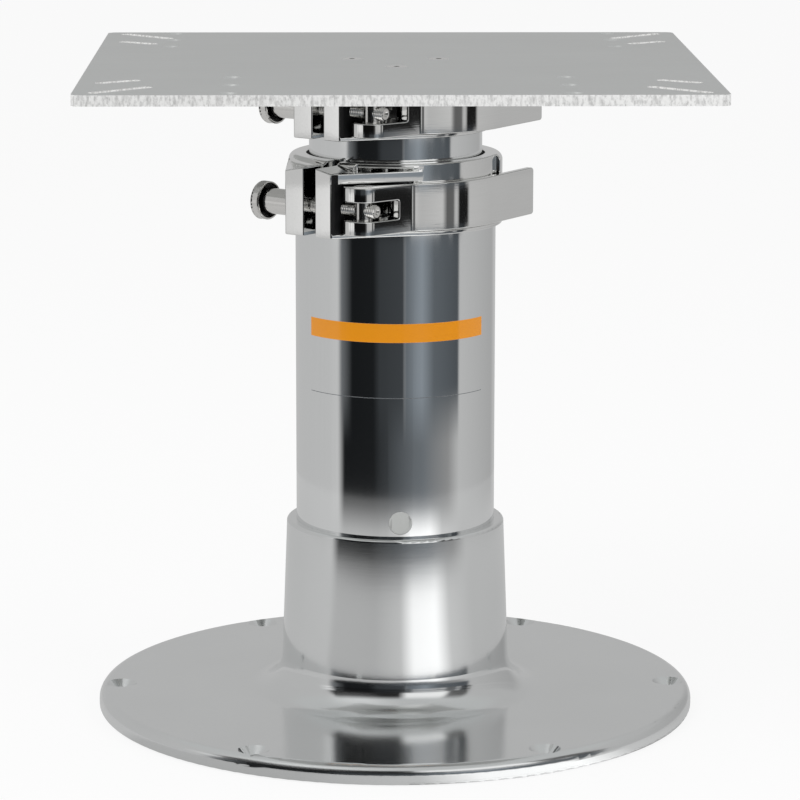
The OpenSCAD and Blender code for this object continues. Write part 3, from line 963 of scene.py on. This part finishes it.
@dataclass
class Clamp:
    """One clamp: split collar, cam lever, wear pad, and its copies of the hardware."""

    stage: str
    base_body: str
    hardware: Hardware
    tube_end: float
    ring_r: float
    web: tuple[float, float] | None = None
    azimuth: float = math.radians(232)
    stud_out: float = 8.3 * MM
    recess: float = 3 * MM
    collar_ease: float = 0.7 * MM
    pad_ease: float = 0.4 * MM
    lug_corner: tuple[float, float] = (18.8 * MM, 15.5 * MM)
    web_sink: float = 0.1 * MM
    web_root: float = 5 * MM
    web_heel: float = 0.8 * MM
    web_ease: float = 0.6 * MM
    lever_ease: float = 0.8 * MM
    lever_ring_r: float = 61.73 * MM
    blade_r: float = 63.56 * MM
    blade_step: float = 0.022
    nose_r: float = 9.5 * MM
    face_turn: float = math.radians(77)
    bend_run: float = 3.5 * MM
    bend_steps: int = 6

    def at_clamp(self) -> Matrix:
        """Place of the clamp's own axes, with X along the slot."""
        return Matrix.Translation((0, 0, self.tube_end)) @ Matrix.Rotation(self.azimuth, 4, "Z")

    def on_stud(self) -> Matrix:
        """Place of the stud's axes, with Z from the knob to the lever."""
        start = Matrix.Translation((self.ring_r + self.stud_out, 0, self.hardware.stud_z))
        return self.at_clamp() @ start @ Matrix.Rotation(math.radians(-90), 4, "X")

    def on_hinge(self) -> Matrix:
        """Place of the barrel nut's axis."""
        return self.at_clamp() @ Matrix.Translation((self.ring_r + self.stud_out, self.hardware.barrel_t, 0))

    def collar(self, node: bpy.types.Object) -> bpy.types.Object:
        """Split collar, with its web where it has one.

        Args:
            node: The collar's solid.

        Returns:
            The piece.
        """
        piece = Bench.ease(Bench.copy(node, f"{self.stage}_collar_casting"), self.collar_ease)
        if self.web:
            Bench.weld(piece, self.web_block(*self.web))
            Bench.smooth(piece, Bench.SMOOTH_TO)
        return piece

    def web_block(self, low: float, high: float) -> bpy.types.Object:
        """Web that runs from the lug onto the ring, above the lever's head.

        Args:
            low: Height of its underside.
            high: Height of its top.

        Returns:
            The web, in place.
        """
        corner = Vector((self.ring_r + self.lug_corner[0], self.lug_corner[1]))
        wall_r = self.ring_r - self.recess - self.web_sink
        turn = math.atan2(corner.y, corner.x) + math.acos(wall_r / corner.length)
        foot = on_circle(wall_r, turn)
        root = [on_circle(wall_r - self.web_root, a) for a in (turn + 0.05, turn - 0.35, 0.31)]
        heel = Vector((corner.x, corner.y - self.web_heel))
        web = Bench.prism("web", [corner, foot, *root, heel], low, high)

        def on_face(vert: bmesh.types.BMVert) -> bool:
            """Whether a vertex lies on the web's outer face."""
            return any((vert.co.xy - end).length < 1e-6 for end in (corner, foot))

        Bench.pick(Pick.EDGES, lambda e: all(on_face(v) for v in e.verts) and e.calc_length() > 20 * MM)
        bpy.ops.mesh.bevel(offset=self.web_ease, segments=3, profile=0.5)
        Bench.place(web, self.at_clamp())
        return web

    def hollow(self) -> list[Vector]:
        """Outline of what the lever's head lacks, seen from above.

        Returns:
            Corners from the nose down the hollow, round the blade and back outside.
        """
        nose = Vector((self.lever_ring_r + self.stud_out, self.hardware.barrel_t))
        away = on_circle(1.0, self.face_turn)
        along = Vector((-away.y, away.x))
        start = nose + away * self.nose_r
        meet_turn = self.face_turn - math.acos(start.dot(away) / self.blade_r)
        meet = on_circle(self.blade_r, meet_turn)
        enter = meet - along * self.bend_run
        first_turn = meet_turn + self.bend_run / self.blade_r
        blade = [on_circle(self.blade_r, first_turn + step * self.blade_step) for step in range(15)]
        bend = [
            enter * (1 - t) ** 2 + meet * 2 * t * (1 - t) + blade[0] * t**2
            for t in (step / self.bend_steps for step in range(self.bend_steps))
        ]
        return [start, *bend, *blade, blade[-1] * 1.3, meet * 1.5, start * 1.3]

    def lever(self, node: bpy.types.Object) -> bpy.types.Object:
        """Cam lever, whose head falls away in a hollow to the blade round the ring.

        Args:
            node: The lever's solid.

        Returns:
            The piece.
        """
        piece = Bench.copy(node, f"{self.stage}_cam_lever")
        tool = Bench.prism("hollow", self.hollow(), -5 * MM, 45 * MM)
        shift = Matrix.Translation((self.ring_r - self.lever_ring_r, 0, 0))
        Bench.place(tool, self.at_clamp() @ shift)
        Bench.cut(piece, tool)
        return Bench.ease(piece, self.lever_ease)

    def build(self, nodes: dict[str, bpy.types.Object], finishes: dict[str, bpy.types.Material]) -> None:
        """Model and dress the clamp.

        Args:
            nodes: The frame's solids by name.
            finishes: Materials by slot.
        """
        stage = self.stage
        collar = self.collar(nodes[f"{stage}_collar"])
        lever = self.lever(nodes[f"{stage}_lever"])
        pad = Bench.ease(Bench.copy(nodes[f"{stage}_cam_pad"], f"{stage}_wear_pad"), self.pad_ease)
        knob = self.hardware.copy("knob", f"{stage}_knurled_knob", self.on_stud())
        barrel_nut = self.hardware.copy("barrel_nut", f"{stage}_barrel_nut_pin", self.on_hinge())
        stud = self.hardware.copy("stud", f"{stage}_threaded_stud", self.on_stud())
        parts = (
            (collar, self.base_body, f"{stage}_collar", "polished_clamp"),
            (lever, f"{stage}_lever", f"{stage}_lever", "polished_lever"),
            (pad, self.base_body, f"{stage}_cam_pad", "black_nylon"),
            (barrel_nut, self.base_body, f"{stage}_barrel_nut", "stainless_steel"),
            (stud, f"{stage}_knob", f"{stage}_stud", "stainless_steel"),
            (knob, f"{stage}_knob", f"{stage}_knob", "knurled_steel"),
        )
        for piece, body, node, slot in parts:
            dress(piece, finishes[slot])
            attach(piece, body)
            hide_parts(node)
            LOG.info("%s rides on %s and stands for %s", piece.name, body, node)
        # Near-black painted shade on the knob's root, standing in for the shadow in the recess under the head
        knob.data.materials.append(finishes["painted_shade_root"])


def dress(piece: bpy.types.Object, material: bpy.types.Material) -> None:
    """Give a piece one material.

    Args:
        piece: The piece or solid.
        material: Its material.
    """
    if not piece.material_slots:
        piece.data.materials.append(material)
    for place in piece.material_slots:
        place.material = material


@dataclass
class Frame:
    """The solids that keep their shape and get a finish, and the plug with its eased rim."""

    finish_of: dict[str, str]
    plug_ease: float = 0.45 * MM

    def build(self, nodes: dict[str, bpy.types.Object], finishes: dict[str, bpy.types.Material]) -> None:
        """Dress the solids and model the plug.

        Args:
            nodes: The frame's solids by name.
            finishes: Materials by name.
        """
        plug = Bench.ease(Bench.copy(nodes["tube_plug"], "press_in_plug"), self.plug_ease)
        dress(plug, finishes["grey_plug"])
        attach(plug, "base")
        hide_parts("tube_plug")
        LOG.info("%s rides on base and stands for tube_plug", plug.name)
        for name, finish in self.finish_of.items():
            dress(nodes[name], finishes[finish])
            LOG.info("%s is finished as %s", name, finish)


def grey(level: float, blue: float = 0.0) -> Colour:
    """Grey of a level, with a little blue if wanted."""
    return (level, level * (1 + blue / 2), level * (1 + blue))


# Greys by direction in degrees, 0 towards the camera and 90 to the right.
# The cards behind the tubes' reflections
CARD_GREYS = (
    (-180, grey(0.52)),
    (-80, grey(0.56)),
    (-68, grey(0.60)),
    (-63, grey(0.16, 0.1)),
    (-50, grey(0.010, 0.2)),
    (-25, grey(0.012, 0.2)),
    (-18, grey(0.042, 0.2)),
    (7.5, grey(0.052, 0.2)),
    (9, grey(0.22, 0.1)),
    (11, grey(0.14, 0.25)),
    (28, grey(0.27, 0.25)),
    (42, grey(0.12, 0.25)),
    (72.5, grey(0.08, 0.25)),
    (75, grey(0.54)),
    (140, grey(0.42)),
    (152, grey(0.52)),
)
# The lowest row of cards, and the floor beyond the paper
LOW_GREYS = (
    (-180, grey(0.52)),
    (-80, grey(0.56)),
    (-68, grey(0.60)),
    (-60, grey(0.010, 0.2)),
    (-25, grey(0.012, 0.2)),
    (-10, grey(0.05, 0.2)),
    (30, grey(0.16, 0.2)),
    (60, grey(0.3)),
    (75, grey(0.54)),
    (140, grey(0.42)),
    (152, grey(0.52)),
)
# Two thin rows at the clamps' height
SLOT_GREYS = (
    (-180, grey(0.52)),
    (-80, grey(0.56)),
    (-67, grey(0.95)),
    (-62, grey(0.005)),
    (3, grey(0.006)),
    (9, grey(0.05)),
    (14, grey(0.12)),
    (17, grey(0.50)),
    (47, grey(0.62)),
    (51, grey(0.12)),
    (59, grey(0.14)),
    (61, grey(0.54)),
    (64, grey(0.54)),
    (66, grey(0.012)),
    (76, grey(0.012)),
    (79, grey(0.56)),
    (140, grey(0.46)),
    (152, grey(0.52)),
)
# The upper rows, with a window on the right
WINDOW_GREYS = (
    (-180, grey(0.52)),
    (-72, grey(0.56)),
    (-66, grey(0.012)),
    (4, grey(0.02)),
    (10, grey(1.0)),
    (50, grey(1.0)),
    (56, grey(0.08)),
    (74, grey(0.08)),
    (80, grey(0.54)),
    (152, grey(0.52)),
)
# The paper on the floor round the object
PAPER_GREYS = (
    (-180, grey(0.50)),
    (-67, grey(0.56)),
    (-60, grey(0.46)),
    (-20, grey(0.44)),
    (4, grey(0.60)),
    (16, grey(1.3)),
    (38, grey(1.4)),
    (52, grey(0.66)),
    (78, grey(0.52)),
)


@dataclass(frozen=True)
class Softbox:
    """Square lamp that points at the middle of the object."""

    name: str
    spot: tuple[float, float, float]
    size: float
    power: float
    aim: tuple[float, float, float] = (0.0, 0.0, 0.2)

    def build(self) -> None:
        """Hang the lamp."""
        data = bpy.data.lights.new(self.name, "AREA")
        data.size = self.size
        data.energy = self.power
        lamp = bpy.data.objects.new(self.name, data)
        bpy.context.scene.collection.objects.link(lamp)
        lamp.location = self.spot
        beam = Vector(self.aim) - Vector(self.spot)
        lamp.rotation_euler = beam.to_track_quat("-Z", "Y").to_euler()
        LOG.info("%s hangs", self.name)


@dataclass
class Studio:
    """White room, a ring of cards that only polished metal sees, lamps and camera.

    A row of cards is given by the height of its lower edge and the width of its blend.
    """

    floor_size: float = 14.0
    floor_drop: float = 0.2 * MM
    floor_glow: float = 0.85
    floor_white: Colour = (0.86, 0.86, 0.86)
    paper_r: float = 0.59
    paper_soft: float = 0.09
    ring_r: float = 0.66
    ring_h: float = 0.8
    ring_sides: int = 96
    card_row: tuple[float, float] = (0.06, 0.04)
    slot_rows: tuple[tuple[float, float], ...] = ((0.197, 0.236), (0.268, 0.312))
    slot_soft: float = 0.003
    window_row: tuple[float, float] = (0.33, 0.02)
    ceiling_row: tuple[float, float] = (0.62, 0.24)
    ceiling: Colour = (0.56, 0.57, 0.57)
    room_light: float = 0.75
    sensor_w: float = 36.0
    lens: float = 166.23
    shift_x: float = 0.0048
    eye: tuple[float, float, float] = (-0.0371, -2.1210, 0.5976)
    look_down: float = 0.1937
    heading: float = -0.0175
    roll: float = -0.0011

    def angle_ramp(self, paint: Paint, x: Term, y: Term, stops: tuple) -> Term:
        """Colour by the direction round the object.

        Args:
            paint: The material's tree.
            x: The X coordinate.
            y: The Y coordinate.
            stops: Directions in degrees, 0 towards the camera, with their greys.

        Returns:
            The colour.
        """
        turn = x.join("ARCTAN2", y * -1.0) / (2 * math.pi) + 0.5
        places = [((degrees + 180) / 360, colour) for degrees, colour in stops]
        return paint.add("ShaderNodeValToRGB", {"stops": places}, {"Fac": turn})

    def floor(self) -> bpy.types.Object:
        """White floor that keeps a soft shadow. Polished metal sees it as grey paper.

        Returns:
            The floor.
        """
        Bench.clear()
        bpy.ops.mesh.primitive_plane_add(size=self.floor_size, location=(0, 0, -self.floor_drop))
        floor = bpy.context.object
        floor.name = "studio_floor"
        bpy.ops.object.transform_apply()
        paint = Paint("white_floor")
        eye = paint.add("ShaderNodeLightPath", {}, {}, "Is Camera Ray")
        outputs = eye.socket.node.outputs
        glossy = Term(paint, outputs["Is Glossy Ray"])
        through = Term(paint, outputs["Is Transmission Ray"])
        x, y, _ = paint.axes(paint.place())
        paper = self.angle_ramp(paint, x, y, PAPER_GREYS)
        beyond = (x * x + y * y).join("SQRT").over(self.paper_r, self.paper_soft)
        paper = paint.blend(beyond, paper, self.angle_ramp(paint, x, y, LOW_GREYS))
        colour = paint.blend(glossy, (1.0, 1.0, 1.0), paper)
        matt = paint.add("ShaderNodeBsdfDiffuse", {}, {"Color": (*self.floor_white, 1.0)})
        glow = paint.add("ShaderNodeEmission", {}, {"Color": colour, "Strength": 1.0})
        seen = (eye + glossy + through).join("MINIMUM", 1.0) * self.floor_glow
        mixed = paint.add("ShaderNodeMixShader", {}, {0: seen, 1: matt, 2: glow})
        paint.tree.links.new(mixed.socket, paint.output.inputs["Surface"])
        dress(floor, paint.material)
        return floor

    def cards(self) -> bpy.types.Object:
        """Ring of grey and black cards round the object.

        Returns:
            The ring. Only reflections see it.
        """
        ring = Bench.cylinder("studio_cards", self.ring_r, 0, self.ring_h, self.ring_sides)
        Bench.pick(Pick.FACES, lambda f: f.normal.z < -0.9)
        bpy.ops.mesh.delete(type="FACE")
        Bench.clear()
        paint = Paint("card_greys")
        x, y, z = paint.axes(paint.place())
        low_slot, high_slot = (z.within(*edges, self.slot_soft) for edges in self.slot_rows)
        tone = self.angle_ramp(paint, x, y, LOW_GREYS)
        for mask, greys in (
            (z.over(*self.card_row), CARD_GREYS),
            (low_slot + high_slot, SLOT_GREYS),
            (z.over(*self.window_row), WINDOW_GREYS),
        ):
            tone = paint.blend(mask, tone, self.angle_ramp(paint, x, y, greys))
        tone = paint.blend(z.over(*self.ceiling_row), tone, self.ceiling)
        glow = paint.add("ShaderNodeEmission", {}, {"Color": tone, "Strength": 1.0})
        paint.tree.links.new(glow.socket, paint.output.inputs["Surface"])
        dress(ring, paint.material)
        ring.visible_camera = False
        ring.visible_diffuse = False
        ring.visible_shadow = False
        ring.visible_transmission = False
        return ring

    def lamps(self) -> None:
        """Two softboxes: one above on the left, one on the right."""
        Softbox("key_softbox", (-1.1, -1.0, 1.9), size=1.4, power=16.0).build()
        Softbox("fill_softbox", (1.5, -0.9, 1.3), size=1.0, power=7.0).build()

    def room(self) -> None:
        """World: white to the eye and in reflections, dimmer as light."""
        world = bpy.data.worlds.new("studio_room")
        bpy.context.scene.world = world
        world.use_nodes = True
        nodes, links = world.node_tree.nodes, world.node_tree.links
        nodes.clear()
        path = nodes.new("ShaderNodeLightPath")
        any_eye = nodes.new("ShaderNodeMath")
        any_eye.operation = "MAXIMUM"
        with_glass = nodes.new("ShaderNodeMath")
        with_glass.operation = "MAXIMUM"
        level = nodes.new("ShaderNodeMapRange")
        level.inputs["To Min"].default_value = self.room_light
        level.inputs["To Max"].default_value = 1.0
        back = nodes.new("ShaderNodeBackground")
        back.inputs["Color"].default_value = (1, 1, 1, 1)
        out = nodes.new("ShaderNodeOutputWorld")
        links.new(path.outputs["Is Camera Ray"], any_eye.inputs[0])
        links.new(path.outputs["Is Glossy Ray"], any_eye.inputs[1])
        links.new(any_eye.outputs[0], with_glass.inputs[0])
        links.new(path.outputs["Is Transmission Ray"], with_glass.inputs[1])
        links.new(with_glass.outputs[0], level.inputs["Value"])
        links.new(level.outputs[0], back.inputs["Strength"])
        links.new(back.outputs[0], out.inputs["Surface"])

    def camera(self) -> None:
        """Camera at the photograph's view."""
        data = bpy.data.cameras.new("photo_camera")
        data.sensor_width = self.sensor_w
        data.lens = self.lens
        data.shift_x = self.shift_x
        data.clip_start = 0.05
        data.clip_end = 60.0
        camera = bpy.data.objects.new("photo_camera", data)
        bpy.context.scene.collection.objects.link(camera)
        camera.location = self.eye
        camera.rotation_euler = Euler((math.pi / 2 - self.look_down, self.roll, self.heading), "XYZ")
        bpy.context.scene.camera = camera

    def build(self) -> None:
        """Set up the whole studio."""
        self.floor()
        self.cards()
        LOG.info("floor and cards stand")
        self.lamps()
        self.room()
        self.camera()
        bpy.context.scene.view_settings.view_transform = "Standard"


def make_finishes() -> dict[str, bpy.types.Material]:
    """Build every finish.

    Returns:
        Materials by slot, and those of the printed tube and of the painted shade on the knob's root by name.
    """
    rows = {
        "cast_aluminium": Casting("cast_aluminium_finish"),
        "tube_aluminium": DrawnTube("drawn_tube_finish"),
        "printed_tube": DrawnTube("printed_tube_finish", printed=True),
        "plate_aluminium": SheetPlate("sheet_plate_finish"),
        "polished_clamp": Metal("polished_clamp_finish", (0.86, 0.86, 0.85), 0.05, Grain.EVEN, 0.15),
        "polished_lever": Metal("polished_lever_finish", (0.84, 0.84, 0.83), 0.05, Grain.ROUND, 0.15),
        "stainless_steel": Metal("turned_steel_finish", (0.72, 0.71, 0.69), 0.16, Grain.EVEN, 0.3),
        "knurled_steel": Metal("knurled_steel_finish", (0.80, 0.79, 0.77), 0.12, Grain.EVEN, 0.3),
        # Near-black painted shade for the recess under the knob's head; the steel there is not blackened
        "painted_shade_root": Metal("painted_shade_root_finish", (0.04, 0.04, 0.042), 0.3, Grain.EVEN, 0.3),
        "grey_plug": Moulding("grey_plug_finish", (0.46, 0.47, 0.46), 0.5),
        "black_nylon": Moulding("black_nylon_finish", (0.004, 0.004, 0.005), 0.75),
        "white_nylon": Moulding("white_nylon_finish", (0.72, 0.71, 0.67), 0.45),
        "black_rubber": Moulding("black_rubber_finish", (0.02, 0.02, 0.02), 0.7),
    }
    return {slot: finish.build() for slot, finish in rows.items()}


def main() -> None:
    """Build the whole scene."""
    logging.basicConfig(level=logging.INFO, format="%(name)s: %(message)s")
    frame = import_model()
    nodes = frame["nodes"]
    finishes = make_finishes()
    Frame(
        {
            "base_flange": "cast_aluminium",
            "outer_tube": "printed_tube",
            "buffer_ring": "black_rubber",
            "lower_liner": "black_nylon",
            "lower_washer": "stainless_steel",
            "middle_guide": "white_nylon",
            "middle_tube": "tube_aluminium",
            "upper_liner": "black_nylon",
            "upper_washer": "stainless_steel",
            "inner_guide": "white_nylon",
            "inner_tube": "tube_aluminium",
            "tube_head": "tube_aluminium",
            "top_plate": "plate_aluminium",
            "plate_screws": "stainless_steel",
        }
    ).build(nodes, finishes)
    hardware = Hardware()
    hardware.build()
    for clamp in (
        Clamp("lower", "base", hardware, tube_end=287.5 * MM, ring_r=61.73 * MM, web=(30.8 * MM, 36.45 * MM)),
        Clamp("upper", "middle", hardware, tube_end=341.6 * MM, ring_r=53.73 * MM),
    ):
        clamp.build(nodes, finishes)
    hardware.clear()
    Studio().build()


if __name__ == "__main__":
    main()
